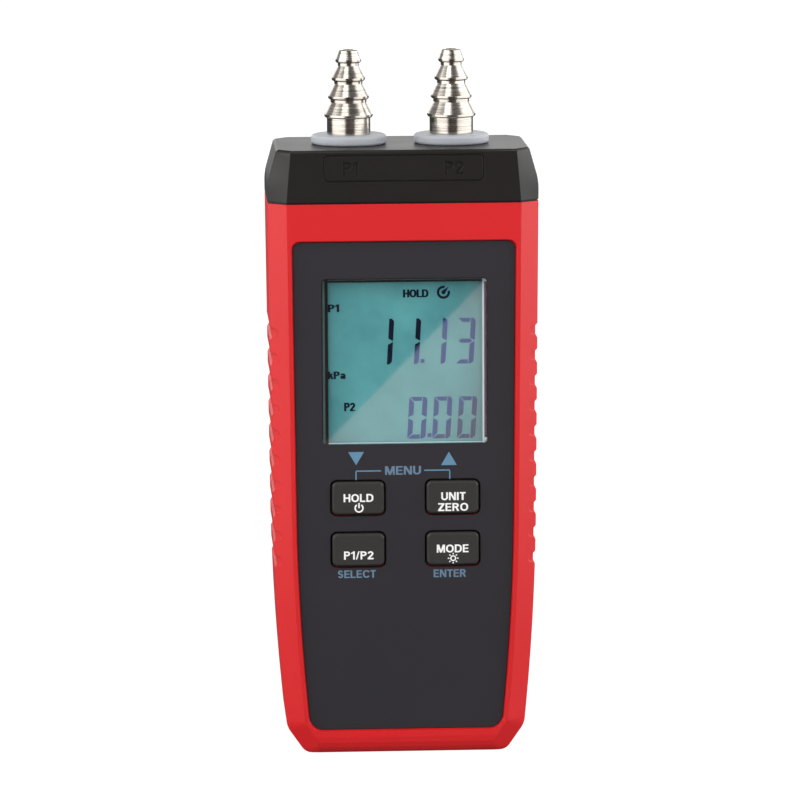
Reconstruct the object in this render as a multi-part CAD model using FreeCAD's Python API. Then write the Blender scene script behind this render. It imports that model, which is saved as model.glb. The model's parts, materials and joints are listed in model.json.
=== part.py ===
import FreeCAD, Part
import math
import os

from FreeCAD import Vector

# Handheld pressure gauge that stands on its foot. Its front faces -Y, +Z is up,
# and the origin is in the middle of the foot. Every length is in millimetres.

# Housing outline, seen from the front
housing_depth = 34.0
body_top = 134.2
crown_half = 32.5
bend_draw_in = 0.95
bend_height = 35.0
bow_share = 0.83
shoulder_draw_in = 2.69
shoulder_height = 6.45
shoulder_round = 5.5
foot_draw_in = 4.53
foot_round = 3.0
least_round = 0.8

# Cutting shapes run this far past what they cut
past = 5.0

# Sloping facets round the front and the back of the housing, rolled under at the foot
facet_width = 4.4
facet_depth = 3.9
roll_steps = 5
wall = 2.5

# Seam between the two shells, and the grip notches that run across it
parting = 1.0
seam_width = 0.4
seam_depth = 0.4
notch_count = 10
notch_pitch = 6.17
first_notch = 47.5
notch_depth = 0.5
notch_floor = 2.2
notch_upper_ramp = 0.5
notch_lower_ramp = 0.85
notch_reach = 1.9
notch_end_round = 1.0

# Top cap
cap_top = 147.1
cap_bend = 139.0
cap_bend_round = 14.0
cap_bend_steps = 5
cap_top_half = 30.25
cap_top_facet = 3.2
cap_wall = 1.9
cap_roof = 2.8
cap_edge_bevel = 0.45
tongue_length = 4.0
tongue_wall = 1.8
tongue_gap = 0.15
bead_height = 1.0
bead_depth = 0.6
bead_half = 18.0
frame_half = 19.2
frame_low = 139.5
frame_high = 146.0
frame_round = 1.2
frame_groove = 0.3
frame_groove_depth = 0.25

# Hose ports
port_half_spacing = 12.4
washer_radius = 9.1
washer_thickness = 2.3
washer_round = 0.7
thread_radius = 4.0
thread_gap = 0.15
barb_bore = 1.3
stem_radius = 5.25
rim_radii = (5.85, 4.92, 4.02, 3.09)
rim_heights = (4.05, 8.45, 12.87, 17.22)
rim_blunt = 0.3
rim_land = 0.5
neck_radii = (4.34, 3.41, 2.52)
neck_length = 0.75
tip_radius = 2.38
tip_height = 20.35
tip_round = 0.5
nut_height = 4.0
nut_across = 13.0
nut_blunt = 0.8
nut_face_margin = 0.4
thread_past_nut = 1.5
spigot_radius = 2.1
spigot_length = 6.0

# Face panel, its window and the clear lens
panel_recess = 0.8
panel_thickness = 0.5
panel_inset = 5.6
panel_foot = 6.15
pocket_lip = 0.28
panel_top = 125.1
panel_top_round = 2.0
panel_corner_round = 3.0
panel_gap = 0.08
window_width = 39.8
window_low = 76.0
window_high = 116.1
window_round = 1.1
lens_gap = 0.1
lens_flange = 1.4
lens_flange_thickness = 1.0

# Display stack behind the lens
stack_gap = 0.1
holder_lip = 0.8
holder_margin = 4.2
holder_wall = 1.5
holder_opening_margin = 0.5
glass_thickness = 2.4
backlight_margin = 0.4
lamp_depth = 2.0
lamp_height = 8.0
strip_width = 2.0
strip_length = 38.0

# Circuit board
board_front = 8.0
board_thickness = 1.6
board_gap = 1.0
board_top = 128.6

# Keys, in two columns and two rows
key_width = 12.75
key_height = 8.2
key_round = 1.3
key_draft = 0.15
key_edge_bevel = 0.4
key_half_spacing = 11.4
key_rows = (63.0, 50.4)
key_rise = 0.75
key_gap = 0.35
key_travel = 0.8
key_flange = 1.1
key_flange_thickness = 1.0
key_rest_gap = 0.3
plunger_width = 7.0
plunger_height = 4.0
plunger_end_gap = 0.1
mat_sheet = 1.0
mat_half_width = 20.5
mat_margin = 1.6
collar_gap = 0.5
collar_wall = 1.0
collar_top_gap = 0.6

# Pressure sensors and their tubes
sensor_width = 10.5
sensor_height = 8.5
sensor_low = 107.5
sensor_depth = 9.6
nozzle_length = 8.0
nozzle_bore = 0.9
tube_wall = 1.4
tube_fit = 0.05
tube_overlap = 4.5
sensor_edge = 0.8
nozzle_root = 1.0

# Parts soldered to the back of the board
buzzer_radius = 6.0
buzzer_thickness = 4.0
buzzer_height = 96.0
buzzer_edge = 0.5
buzzer_hole = 1.0
buzzer_hole_depth = 1.5
chip_thickness = 1.6
chips = ((0.0, 58.0, 12.0, 12.0), (14.0, 52.0, 8.0, 6.0), (-14.5, 47.0, 6.0, 5.0), (0.0, 115.0, 8.0, 5.0))

# Batteries and their compartment
cell_count = 3
cell_radius = 5.25
cell_length = 43.7
cell_nub_radius = 1.9
cell_nub_length = 0.8
cell_edge = 0.6
cell_pitch = 10.9
cell_low = 32.5
spring_room = 3.5
contact_room = 0.6
cell_gap = 0.4
tray_wall = 1.3
contact_thickness = 0.4
contact_width = 7.0

# Battery door
door_thickness = 1.6
door_gap = 0.15
door_rim = 1.8
door_head = 10.0
door_round = 2.0
door_tab_width = 7.0
door_tab_reach = 2.2
door_tab_thickness = 0.8
door_ridge_count = 5
door_ridge_pitch = 2.2
door_ridge_half = 7.0
door_ridge_width = 0.9
door_ridge_depth = 0.5
door_ridge_round = 0.4
door_ridge_start = 5.4
door_screw_drop = 4.6

# Screws
screw_radius = 1.3
screw_head_radius = 2.4
screw_head_height = 1.7
screw_length = 11.0
screw_gap = 0.15
thread_fit = 0.05
pilot_room = 0.5
head_edge_share = 0.25
slot_depth_share = 0.5
boss_wall = 2.0
boss_split = 0.1
head_seat = 6.0
upper_screw = (25.0, 125.5)
lower_screw = (21.5, 13.5)
slot_width = 0.7
post_radius = 2.5
board_posts = ((24.2, 66.0), (23.0, 26.0))
board_screw_radius = 0.9
board_screw_head = 1.9
board_screw_head_height = 1.2
board_screw_length = 4.5
door_screw_length = 5.5
door_screw_head_height = 1.0

front = -housing_depth / 2
back = housing_depth / 2
bend_half = crown_half - bend_draw_in
shoulder_half = bend_half - shoulder_draw_in
foot_half = shoulder_half - foot_draw_in
taper = bend_draw_in / (body_top - bend_height)
panel_face = front + panel_recess
pocket_floor = panel_face + panel_thickness
inner_front = front + wall
inner_back = back - wall
board_face = -board_front
board_back = board_face + board_thickness
lens_back = inner_front + lens_flange_thickness
holder_front = lens_back + stack_gap
glass_front = holder_front + holder_lip
glass_middle = glass_front + glass_thickness / 2
glass_back = glass_front + glass_thickness
strip_low = window_low - holder_margin + holder_wall + stack_gap
port_seat = cap_top + washer_thickness
nut_top = cap_top - cap_roof
thread_end = nut_top - nut_height - thread_past_nut
spigot_end = thread_end - spigot_length
door_inner = back - door_thickness
cell_axis = door_inner - cell_gap - cell_radius
tray_floor_top = cell_axis - cell_radius - door_gap
tray_half = cell_pitch * (cell_count - 1) / 2 + cell_radius + cell_gap
tray_low = cell_low - spring_room
tray_high = cell_low + cell_length + cell_nub_length + contact_room
door_half = tray_half + tray_wall + door_rim
door_low = tray_low - tray_wall - door_rim
door_high = tray_high + tray_wall + door_head
door_screw_height = door_high - door_screw_drop
boss_radius = screw_head_radius + screw_gap + boss_wall
middle_height = (window_low + window_high) / 2
low_slope = math.atan2(shoulder_draw_in, bend_height - shoulder_height)
bow_turn = abs(low_slope - math.atan(taper))
bow_reach = bow_share * math.hypot(shoulder_draw_in, bend_height - shoulder_height)
side_bow = bow_reach / math.tan(bow_turn / 2)
beyond = crown_half + past


def save(name, shape):
    """Writes one piece as parts/NAME.step."""
    shape.exportStep("parts/" + name + ".step")


def block(x_from, x_to, y_from, y_to, z_from, z_to):
    """Box between two opposite corners."""
    corner = Vector(x_from, y_from, z_from)
    return Part.makeBox(x_to - x_from, y_to - y_from, z_to - z_from, corner)


def rod(radius, x, z, y_from, y_to):
    """Cylinder that runs from the front towards the back."""
    return Part.makeCylinder(radius, y_to - y_from, Vector(x, y_from, z), Vector(0, 1, 0))


def turned(profile, x):
    """Solid turned about a vertical axis in mid depth, from (radius, height) pairs."""
    points = [Vector(x + radius, 0, height) for radius, height in profile]
    face = Part.Face(Part.makePolygon(points + points[:1]))
    return face.revolve(Vector(x, 0, 0), Vector(0, 0, 1), 360)


def union(shapes):
    """One shape out of several that meet."""
    return shapes[0].multiFuse(shapes[1:]).removeSplitter()


def rounded_wire(corners, radii, y):
    """Closed outline through (x, z) corners, each rounded by its own radius."""
    points = [Vector(x, y, z) for x, z in corners]
    bends = []
    for index, point in enumerate(points):
        before = (points[index - 1] - point).normalize()
        after = (points[(index + 1) % len(points)] - point).normalize()
        half_angle = before.getAngle(after) / 2
        reach = radii[index] / math.tan(half_angle)
        crest = radii[index] / math.sin(half_angle) - radii[index]
        inward = (before + after).normalize()
        bends.append((point + before * reach, point + inward * crest, point + after * reach))
    edges = []
    for index, (start, crown, end) in enumerate(bends):
        edges.append(Part.LineSegment(bends[index - 1][2], start).toShape())
        if radii[index] > 0:
            edges.append(Part.Arc(start, crown, end).toShape())
    return Part.Wire(edges)


def rounded_plate(x_from, x_to, z_from, z_to, radius, y_from, y_to):
    """Upright plate with four round corners."""
    corners = ((x_from, z_from), (x_to, z_from), (x_to, z_to), (x_from, z_to))
    outline = rounded_wire(corners, (radius,) * 4, y_from)
    return Part.Face(outline).extrude(Vector(0, y_to - y_from, 0))


def centred_plate(x, z, width, height, radius, y_from, y_to):
    """Upright plate with four round corners, centred on a place."""
    return rounded_plate(
        x - width / 2, x + width / 2, z - height / 2, z + height / 2, radius, y_from, y_to
    )


def centred_block(x, z, width, height, y_from, y_to):
    """Block centred on a place in the front view."""
    return block(x - width / 2, x + width / 2, y_from, y_to, z - height / 2, z + height / 2)


def drill(radius, x, z, y_from, y_to):
    """Cutter for a hole that is open at both ends."""
    return rod(radius, x, z, y_from - past, y_to + past)


def moved_line(start, end, inset):
    """Line through two points, moved to its left, as a point and a direction."""
    run_x = end[0] - start[0]
    run_z = end[1] - start[1]
    length = math.hypot(run_x, run_z)
    return (start[0] - run_z / length * inset, start[1] + run_x / length * inset), (run_x, run_z)


def crossing(first, second):
    """Point where two lines cross."""
    (x1, z1), (run_x1, run_z1) = first
    (x2, z2), (run_x2, run_z2) = second
    share = ((x2 - x1) * run_z2 - (z2 - z1) * run_x2) / (run_x1 * run_z2 - run_z1 * run_x2)
    return x1 + run_x1 * share, z1 + run_z1 * share


def housing_outline(inset, foot_inset, top, y, rounds=(foot_round, shoulder_round), top_round=0.0):
    """Front outline of the housing with its sides and foot moved inwards."""
    foot = (foot_half, 0.0)
    shoulder = (shoulder_half, shoulder_height)
    bend = (bend_half, bend_height)
    crown = (crown_half, body_top)
    lines = (
        moved_line((-foot_half, 0.0), foot, foot_inset),
        moved_line(foot, shoulder, inset),
        moved_line(shoulder, bend, inset),
        moved_line(bend, crown, inset),
        ((0.0, top), (-1.0, 0.0)),
    )
    right = [crossing(lines[index], lines[index + 1]) for index in range(4)]
    left = [(-x, z) for x, z in reversed(right)]
    half_radii = [
        max(rounds[0] - foot_inset, least_round),
        max(rounds[1] - inset, least_round),
        side_bow - inset,
        top_round,
    ]
    return rounded_wire(right + left, half_radii + half_radii[::-1], y)


def housing_form(shrink=0.0, top=body_top, steps=1):
    """Both shells as one solid form, with every face moved inwards by shrink.

    The facets are flat at the sides, and roll round the foot's edges in steps.
    """
    turn = math.atan2(facet_depth, facet_width)
    facet_across = facet_width + shrink * math.tan(turn / 2) - shrink
    facet_back = facet_depth + shrink * math.tan((math.pi / 2 - turn) / 2) - shrink
    front_half = []
    rear_half = []
    for step in range(steps + 1):
        angle = math.radians(90 * step / steps)
        inset = shrink + facet_across * math.cos(angle)
        foot_inset = shrink + facet_across * (1 - math.sin(angle))
        depth = shrink + facet_back * (1 - math.cos(angle))
        front_half.append(housing_outline(inset, foot_inset, top, front + depth))
        rear_half.append(housing_outline(inset, foot_inset, top, back - depth))
    return Part.makeLoft(front_half + rear_half[::-1], True, True)


def side_half(height):
    """Half width of the straight part of the sides at a height."""
    return crown_half + taper * (height - body_top)


def notch_cutters():
    """Grip notches on both sides, as deep as notch_depth in the side and the facets."""
    cutters = []
    for index in range(notch_count):
        height = first_notch + notch_pitch * index
        side = side_half(height)
        half_floor = notch_floor / 2
        deep = side - notch_depth
        nose = side - notch_reach
        outside = side + notch_depth
        corners = (
            (outside, height - half_floor - 2 * notch_lower_ramp),
            (outside, height + half_floor + 2 * notch_upper_ramp),
            (deep, height + half_floor),
            (nose, height + half_floor),
            (nose, height - half_floor),
            (deep, height - half_floor),
        )
        radii = (0.0, 0.0, 0.0, notch_end_round, notch_end_round, 0.0)
        profile = Part.Face(rounded_wire(corners, radii, front - past))
        cutter = profile.extrude(Vector(0, housing_depth + 2 * past, 0))
        cutters.append(cutter)
        cutters.append(cutter.mirror(Vector(0, 0, 0), Vector(1, 0, 0)))
    kept = housing_form(notch_depth)
    return Part.makeCompound(cutters).cut(kept)


def seam_cutter():
    """Fine groove round the line where the two shells meet."""
    slab = block(-beyond, beyond, parting - seam_width / 2, parting + seam_width / 2, -past, body_top + past)
    return slab.cut(housing_form(seam_depth, body_top + 2 * past))


def bead_groove(side_of_part):
    """Groove in a shell's inner face that holds the bead on the cap's tongue."""
    low = body_top - tongue_length / 2 - bead_height / 2 - tongue_gap
    high = low + bead_height + 2 * tongue_gap
    half = bead_half + tongue_gap
    if side_of_part == "front":
        return block(-half, half, inner_front - bead_depth, inner_front + tongue_gap, low, high)
    return block(-half, half, inner_back - tongue_gap, inner_back + bead_depth, low, high)


def screw_places():
    """The four (x, z) places of the screws that hold the shells together."""
    return [(side * x, z) for x, z in (upper_screw, lower_screw) for side in (-1, 1)]


def post_places():
    """The four (x, z) places of the screws that hold the circuit board."""
    return [(side * x, z) for x, z in board_posts for side in (-1, 1)]


def key_places():
    """Name and (x, z) centre of each key."""
    names = (("hold_key", "unit_key"), ("select_key", "mode_key"))
    places = []
    for row_names, height in zip(names, key_rows):
        places.append((row_names[0], -key_half_spacing, height))
        places.append((row_names[1], key_half_spacing, height))
    return places


def key_opening(x, z, y_from, y_to):
    """Opening for one key, with its running gap."""
    width = key_width + 2 * key_gap
    height = key_height + 2 * key_gap
    return centred_plate(x, z, width, height, key_round + key_gap, y_from, y_to)


def panel_outline(gap, y):
    """Outline of the face panel, smaller all round by gap."""
    rounds = (panel_corner_round + panel_foot, panel_corner_round + panel_inset)
    return housing_outline(
        panel_inset + gap, panel_foot + gap, panel_top - gap, y, rounds, panel_top_round
    )


def panel_pocket():
    """Cutter for the face panel's seat, with a sloping lip down to the panel's face."""
    sections = [
        panel_outline(-2 * pocket_lip, front - panel_recess),
        panel_outline(0.0, panel_face),
        panel_outline(0.0, pocket_floor),
    ]
    return Part.makeLoft(sections, True, True)


def window_plate(grow, y_from, y_to):
    """Plate over the window's outline, larger all round by grow."""
    width = window_width + 2 * grow
    height = window_high - window_low + 2 * grow
    return centred_plate(0, middle_height, width, height, window_round + grow, y_from, y_to)


def front_shell(notches, seam):
    """Front half of the housing with its panel pocket, openings, bosses and posts."""
    outer = housing_form(steps=roll_steps).common(block(-beyond, beyond, front, parting, 0, body_top))
    cavity = housing_form(wall, body_top + past)
    bosses = [rod(boss_radius, x, z, front, parting - boss_split) for x, z in screw_places()]
    posts = [rod(post_radius, x, z, front, board_face) for x, z in post_places()]
    kept_inside = Part.makeCompound(bosses + posts)
    shell = outer.cut(cavity.cut(kept_inside))
    cutters = [
        panel_pocket(),
        window_plate(0.0, front - past, inner_front + past),
        notches,
        seam,
        bead_groove("front"),
    ]
    for name, x, z in key_places():
        cutters.append(key_opening(x, z, front - past, inner_front + past))
    pilot_end = head_seat - screw_length - pilot_room
    for x, z in screw_places():
        cutters.append(rod(screw_radius + thread_fit, x, z, pilot_end, parting + past))
    for x, z in post_places():
        cutters.append(rod(board_screw_radius, x, z, board_face - board_screw_length, board_face + past))
    return shell.cut(cutters)


def rear_shell(notches, seam):
    """Back half of the housing with its battery tray, door seat and screw wells."""
    outer = housing_form(steps=roll_steps).common(block(-beyond, beyond, parting, back, 0, body_top))
    cavity = housing_form(wall, body_top + past)
    tray = block(
        -tray_half - tray_wall,
        tray_half + tray_wall,
        tray_floor_top - tray_wall,
        back,
        tray_low - tray_wall,
        tray_high + tray_wall,
    )
    bosses = [rod(boss_radius, x, z, parting, back) for x, z in screw_places()]
    door_boss = rod(boss_radius, 0, door_screw_height, door_inner - door_screw_length - boss_wall, back)
    kept_inside = Part.makeCompound([tray, door_boss] + bosses)
    shell = outer.cut(cavity.cut(kept_inside))
    cutters = [
        block(-tray_half, tray_half, tray_floor_top, back + past, tray_low, tray_high),
        door_seat(),
        notches,
        seam,
        bead_groove("back"),
        rod(board_screw_radius, 0, door_screw_height, door_inner - door_screw_length, back),
    ]
    for x, z in screw_places():
        cutters.append(drill(screw_radius + screw_gap, x, z, parting, back))
        cutters.append(rod(screw_head_radius + screw_gap, x, z, head_seat, back + past))
    for side in (-1, 1):
        x = side * door_half / 2
        cutters.append(door_tab(x, door_gap))
    return shell.cut(cutters)


def door_seat():
    """Recess in the back that the battery door drops into."""
    return rounded_plate(-door_half, door_half, door_low, door_high, door_round, door_inner, back + past)


def door_tab(x, grow):
    """Tab at the door's lower end, or its slot where grow is the gap."""
    half = door_tab_width / 2 + grow
    inner = door_inner - grow
    outer = door_inner + door_tab_thickness + grow
    low = door_low - door_tab_reach - grow
    return block(x - half, x + half, inner, outer, low, door_low + door_tab_reach)


def battery_door():
    """Flush door with two tabs at its foot, a screw well and thumb ridges."""
    plate = rounded_plate(
        -door_half + door_gap,
        door_half - door_gap,
        door_low + door_gap,
        door_high - door_gap,
        door_round - door_gap,
        door_inner,
        back,
    )
    door = union([plate, door_tab(-door_half / 2, 0.0), door_tab(door_half / 2, 0.0)])
    cutters = [
        drill(board_screw_radius + screw_gap, 0, door_screw_height, door_inner, back),
        rod(board_screw_head + screw_gap, 0, door_screw_height, back - board_screw_head_height, back + past),
    ]
    for index in range(door_ridge_count):
        height = door_low + door_ridge_start + index * door_ridge_pitch
        groove = rounded_plate(
            -door_ridge_half,
            door_ridge_half,
            height,
            height + door_ridge_width,
            door_ridge_round,
            back - door_ridge_depth,
            back + past,
        )
        cutters.append(groove)
    return door.cut(cutters)


def cap_section(height, half, facet, shrink=0.0):
    """Level section of the cap, with every side moved inwards by shrink."""
    turn = math.atan2(facet_depth, facet)
    across = half - shrink
    depth = housing_depth / 2 - shrink
    face_half = half - facet - shrink * math.tan(turn / 2)
    side_depth = housing_depth / 2 - facet_depth - shrink * math.tan((math.pi / 2 - turn) / 2)
    quarter = ((across, side_depth), (face_half, depth))
    corners = [(x, y) for x, y in quarter]
    corners += [(-x, y) for x, y in reversed(quarter)]
    corners += [(-x, -y) for x, y in quarter]
    corners += [(x, -y) for x, y in reversed(quarter)]
    points = [Vector(x, y, height) for x, y in corners]
    return Part.makePolygon(points + points[:1])


def cap_sides():
    """Height and half width of the cap's sides, straight up to a soft bend and then drawn in."""
    low_lean = -math.atan(taper)
    high_lean = math.atan2(side_half(cap_bend) - cap_top_half, cap_top - cap_bend)
    start = cap_bend - cap_bend_round * math.tan((high_lean - low_lean) / 2) * math.cos(low_lean)
    centre_half = side_half(start) - cap_bend_round * math.cos(low_lean)
    centre_height = start - cap_bend_round * math.sin(low_lean)
    groove_top = body_top + seam_width
    places = [(groove_top, side_half(groove_top))]
    for step in range(cap_bend_steps + 1):
        lean = low_lean + (high_lean - low_lean) * step / cap_bend_steps
        height = centre_height + cap_bend_round * math.sin(lean)
        places.append((height, centre_half + cap_bend_round * math.cos(lean)))
    return places + [(cap_top, cap_top_half)]


def cap_face_half(height):
    """Half width of the cap's front and back faces, inside the facets."""
    low = crown_half - facet_width
    high = cap_top_half - cap_top_facet
    return low + (high - low) * (height - body_top) / (cap_top - body_top)


def cap_body():
    """Outer form of the cap, drawn in at its top sides, over a fine shadow groove."""
    sections = [cap_section(height, half, half - cap_face_half(height)) for height, half in cap_sides()]
    body = Part.makeLoft(sections, True, True)
    top_edges = [edge for edge in body.Edges if edge.BoundBox.ZMin > cap_top - cap_edge_bevel]
    body = body.makeChamfer(cap_edge_bevel, top_edges)
    neck = Part.Face(cap_section(body_top, crown_half, facet_width, seam_depth))
    return union([body, neck.extrude(Vector(0, 0, seam_width))])


def cap_frame_groove():
    """Engraved rounded frame on the front of the cap."""
    low, high = frame_low, frame_high
    deep = front + frame_groove_depth
    outer = rounded_plate(-frame_half, frame_half, low, high, frame_round, front - past, deep)
    inner = rounded_plate(
        -frame_half + frame_groove,
        frame_half - frame_groove,
        low + frame_groove,
        high - frame_groove,
        frame_round - frame_groove,
        front - past,
        deep,
    )
    return outer.cut(inner)


def top_cap():
    """One-piece cap with a tongue and beads that the two shells clamp."""
    tongue_bottom = body_top - tongue_length
    tongue = housing_form(wall + tongue_gap, body_top + past).common(
        block(-beyond, beyond, front, back, tongue_bottom, body_top + seam_width)
    )
    bead_low = body_top - tongue_length / 2 - bead_height / 2
    bead_front = inner_front - bead_depth + tongue_gap
    bead_back = inner_back + bead_depth - tongue_gap
    bead = block(-bead_half, bead_half, bead_front, bead_back, bead_low, bead_low + bead_height)
    inside = wall + tongue_gap + tongue_wall
    hollow = Part.makeLoft(
        [
            cap_section(tongue_bottom - past, side_half(tongue_bottom), facet_width, inside),
            cap_section(cap_bend, side_half(cap_bend), facet_width, inside),
            cap_section(nut_top, cap_top_half, cap_top_facet, cap_wall),
        ],
        True,
        True,
    )
    cap = union([cap_body(), tongue, bead])
    cutters = [hollow, cap_frame_groove()]
    for side in (-1, 1):
        seat = Vector(side * port_half_spacing, 0, nut_top)
        cutters.append(Part.makeCylinder(thread_radius + thread_gap, cap_roof + past, seat))
    return cap.cut(cutters)


def hose_barb(x):
    """Turned fitting with four rims, a through bore, a threaded end and a spigot."""
    profile = [(barb_bore, spigot_end), (spigot_radius, spigot_end), (spigot_radius, thread_end)]
    profile += [(thread_radius, thread_end), (thread_radius, port_seat), (stem_radius, port_seat)]
    below = stem_radius
    for index, (radius, height) in enumerate(zip(rim_radii, rim_heights)):
        low = port_seat + height
        profile += [(below, low), (radius - rim_blunt, low), (radius, low + rim_blunt)]
        profile.append((radius, low + rim_blunt + rim_land))
        if index < len(neck_radii):
            below = neck_radii[index]
            profile.append((below, port_seat + rim_heights[index + 1] - neck_length))
    for step in range(4):
        angle = math.radians(90 * step / 3)
        radius = tip_radius - tip_round * (1 - math.cos(angle))
        profile.append((radius, port_seat + tip_height - tip_round * (1 - math.sin(angle))))
    profile.append((barb_bore, port_seat + tip_height))
    return turned(profile, x)


def port_washer(x):
    """Thick washer under a fitting, with rounded rims."""
    rim = []
    for step in range(4):
        angle = math.radians(90 * step / 3)
        radius = washer_radius - washer_round * (1 - math.sin(angle))
        rim.append((radius, cap_top + washer_round * (1 - math.cos(angle))))
    rim += [(radius, 2 * cap_top + washer_thickness - height) for radius, height in reversed(rim)]
    inner = thread_radius + thread_gap
    return turned([(inner, cap_top)] + rim + [(inner, port_seat)], x)


def port_nut(x):
    """Hexagon nut that holds a fitting from inside the cap."""
    reach = nut_across / math.sqrt(3)
    low = nut_top - nut_height
    shoulder = low + nut_blunt
    points = []
    for index in range(6):
        angle = math.radians(60 * index)
        points.append(Vector(x + reach * math.cos(angle), reach * math.sin(angle), low))
    hexagon = Part.Face(Part.makePolygon(points + points[:1])).extrude(Vector(0, 0, nut_height))
    rim = nut_across / 2 + nut_face_margin
    blunt = turned([(0.0, low), (rim, low), (reach, shoulder), (reach, nut_top), (0.0, nut_top)], x)
    bore = Part.makeCylinder(thread_radius + thread_gap, nut_height, Vector(x, 0, low))
    return hexagon.common(blunt).cut(bore)


def face_panel():
    """Dark plate in the front pocket with its window and key openings."""
    plate = Part.Face(panel_outline(panel_gap, panel_face)).extrude(Vector(0, panel_thickness, 0))
    cutters = [window_plate(0.0, panel_face - past, pocket_floor + past)]
    for name, x, z in key_places():
        cutters.append(key_opening(x, z, panel_face - past, pocket_floor + past))
    return plate.cut(cutters)


def window_lens():
    """Clear block that fills the window, with a flange behind the front wall."""
    face = window_plate(-lens_gap, panel_face, inner_front)
    flange = window_plate(lens_flange, inner_front, lens_back)
    return union([face, flange])


def stack_block(shrink, y_from, y_to):
    """Block over the display holder's outline, smaller all round by shrink."""
    width = window_width + 2 * holder_margin - 2 * shrink
    height = window_high - window_low + 2 * holder_margin - 2 * shrink
    return centred_block(0, middle_height, width, height, y_from, y_to)


def lcd_holder():
    """Frame that holds the display glass against the lens."""
    frame = stack_block(0.0, holder_front, board_face)
    pocket = stack_block(holder_wall, glass_front, board_face + past)
    opening = window_plate(holder_opening_margin, holder_front - past, glass_front + past)
    return frame.cut([pocket, opening])


def lcd_glass():
    """Two bonded sheets of display glass as one plate, the rear one shorter."""
    glass = stack_block(holder_wall + stack_gap, glass_front, glass_back)
    return glass.cut(block(-beyond, beyond, glass_middle, glass_back, 0, strip_low + strip_width))


def backlight():
    """Light guide behind the glass, between the two contact strips."""
    half = window_width / 2 + backlight_margin
    low = window_low - backlight_margin
    high = window_high + backlight_margin
    rear = board_face - stack_gap
    guide = block(-half, half, glass_back, rear, low, high)
    lamp_place = lamp_depth / 2 - half
    lamp = centred_block(lamp_place, middle_height, lamp_depth, lamp_height, glass_back, rear)
    return guide.cut(lamp)


def contact_strip():
    """Rubber contact strip between the lower edge of the glass and the board."""
    half = strip_length / 2
    return block(-half, half, glass_middle, board_face, strip_low, strip_low + strip_width - stack_gap)


def key(x, z):
    """Rubber key with a drafted cap, a retaining flange and a plunger."""
    face = panel_face - key_rise
    flange_front = inner_front + key_rest_gap
    flange_back = flange_front + key_flange_thickness
    half_width = key_width / 2
    half_height = key_height / 2
    steps = ((key_draft + key_edge_bevel, face), (key_draft, face + key_edge_bevel), (0.0, flange_front))
    outlines = []
    for draw_in, y in steps:
        corners = (
            (x - half_width + draw_in, z - half_height + draw_in),
            (x + half_width - draw_in, z - half_height + draw_in),
            (x + half_width - draw_in, z + half_height - draw_in),
            (x - half_width + draw_in, z + half_height - draw_in),
        )
        outlines.append(rounded_wire(corners, (key_round - draw_in,) * 4, y))
    cap = Part.makeLoft(outlines, True, True)
    flange_width = key_width + 2 * key_flange
    flange_height = key_height + 2 * key_flange
    flange_round = key_round + key_flange
    flange = centred_plate(x, z, flange_width, flange_height, flange_round, flange_front, flange_back)
    plunger_end = board_face - key_travel - plunger_end_gap
    plunger = centred_plate(x, z, plunger_width, plunger_height, key_round, flange_back, plunger_end)
    return union([cap, flange, plunger])


def mat_collar(x, z, grow, y_from, y_to):
    """Plate over a plunger's outline, larger all round by grow."""
    width = plunger_width + 2 * grow
    height = plunger_height + 2 * grow
    return centred_plate(x, z, width, height, key_round + grow, y_from, y_to)


def keypad_mat():
    """Rubber sheet on the board with a collar round each key's plunger."""
    low = min(key_rows) - key_height / 2 - key_flange - mat_margin
    high = max(key_rows) + key_height / 2 + key_flange + mat_margin
    sheet_front = board_face - mat_sheet
    sheet = rounded_plate(-mat_half_width, mat_half_width, low, high, mat_margin, sheet_front, board_face)
    flange_back = inner_front + key_rest_gap + key_flange_thickness
    collar_front = flange_back + key_travel + collar_top_gap
    collars = []
    wells = []
    for name, x, z in key_places():
        collars.append(mat_collar(x, z, collar_gap + collar_wall, collar_front, sheet_front))
        wells.append(mat_collar(x, z, collar_gap, collar_front - past, board_face + past))
    return union([sheet] + collars).cut(wells)


def circuit_board():
    """Board that follows the inside of the housing, cut round the screw bosses."""
    inset = wall + board_gap
    outline = Part.Face(housing_outline(inset, inset, board_top, board_face))
    boss_room = boss_radius + board_gap
    cutters = [drill(boss_room, x, z, board_face, board_back) for x, z in screw_places()]
    hole = board_screw_radius + screw_gap
    cutters += [drill(hole, x, z, board_face, board_back) for x, z in post_places()]
    return outline.extrude(Vector(0, board_thickness, 0)).cut(cutters)


def board_chips():
    """Components soldered to the back of the board."""
    solids = []
    for x, z, width, height in chips:
        solids.append(centred_block(x, z, width, height, board_back, board_back + chip_thickness))
    return Part.makeCompound(solids)


def buzzer():
    """Round sounder with a small sound hole."""
    top = board_back + buzzer_thickness
    body = rod(buzzer_radius, 0, buzzer_height, board_back, top)
    rim = [edge for edge in body.Edges if edge.BoundBox.YMin > top - buzzer_edge]
    body = body.makeChamfer(buzzer_edge, rim)
    return body.cut(rod(buzzer_hole, 0, buzzer_height, top - buzzer_hole_depth, top + past))


def pressure_sensor(x):
    """Sensor case on the back of the board with an upright nozzle under its port."""
    rear = board_back + sensor_depth
    middle = sensor_low + sensor_height / 2
    case = centred_block(x, middle, sensor_width, sensor_height, board_back, rear)
    rear_edges = [edge for edge in case.Edges if edge.BoundBox.YMin > rear - sensor_edge]
    case = case.makeChamfer(sensor_edge, rear_edges)
    nozzle_low = sensor_low + sensor_height - nozzle_root
    nozzle = Part.makeCylinder(spigot_radius, nozzle_length + nozzle_root, Vector(x, 0, nozzle_low))
    bore = Part.makeCylinder(nozzle_bore, nozzle_length + past, Vector(x, 0, nozzle_low))
    return union([case, nozzle]).cut(bore)


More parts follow.
